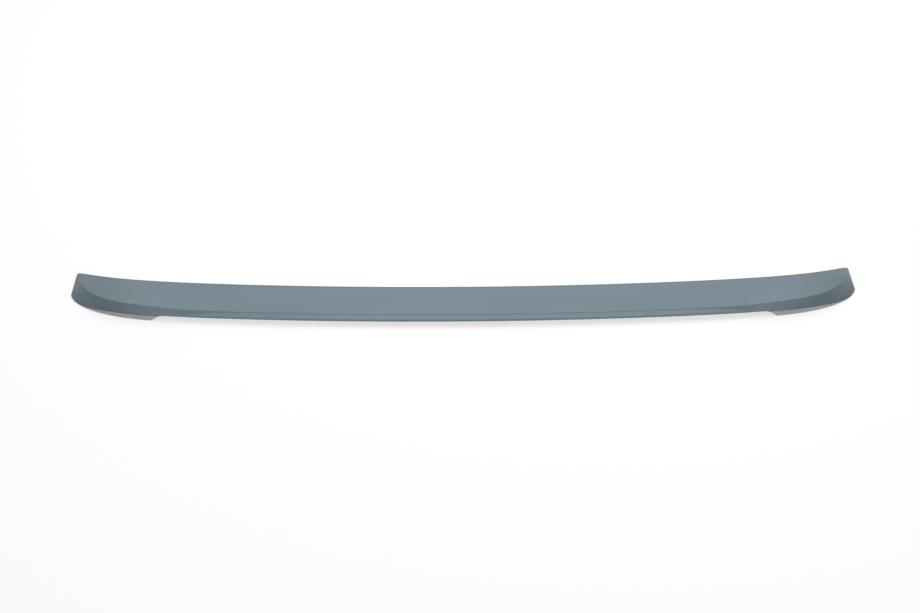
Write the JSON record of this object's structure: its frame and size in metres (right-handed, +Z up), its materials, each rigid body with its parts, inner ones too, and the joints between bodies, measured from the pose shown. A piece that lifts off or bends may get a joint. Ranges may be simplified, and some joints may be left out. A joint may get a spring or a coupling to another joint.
{
  "type": "boot lid lip spoiler",
  "caption": "Slim primed lip spoiler for a car's boot lid: a long shallow blade with a stepped rear edge, swept ends on feet and a ribbed hollow underside for bonding.",
  "frame": {"origin": "middle of the box around the part, on the surface that its feet stand on", "axes": "+X along the span to the right of the car, +Y towards the front of the car, +Z up"},
  "size_m": [1.18, 0.1332, 0.0261],
  "materials": {
    "primed_moulding": "satin blue-grey primer on moulded plastic, bare light grey underneath"
  },
  "bodies": {
    "root": {"spoiler_body": "primed_moulding"}
  },
  "joints": []
}
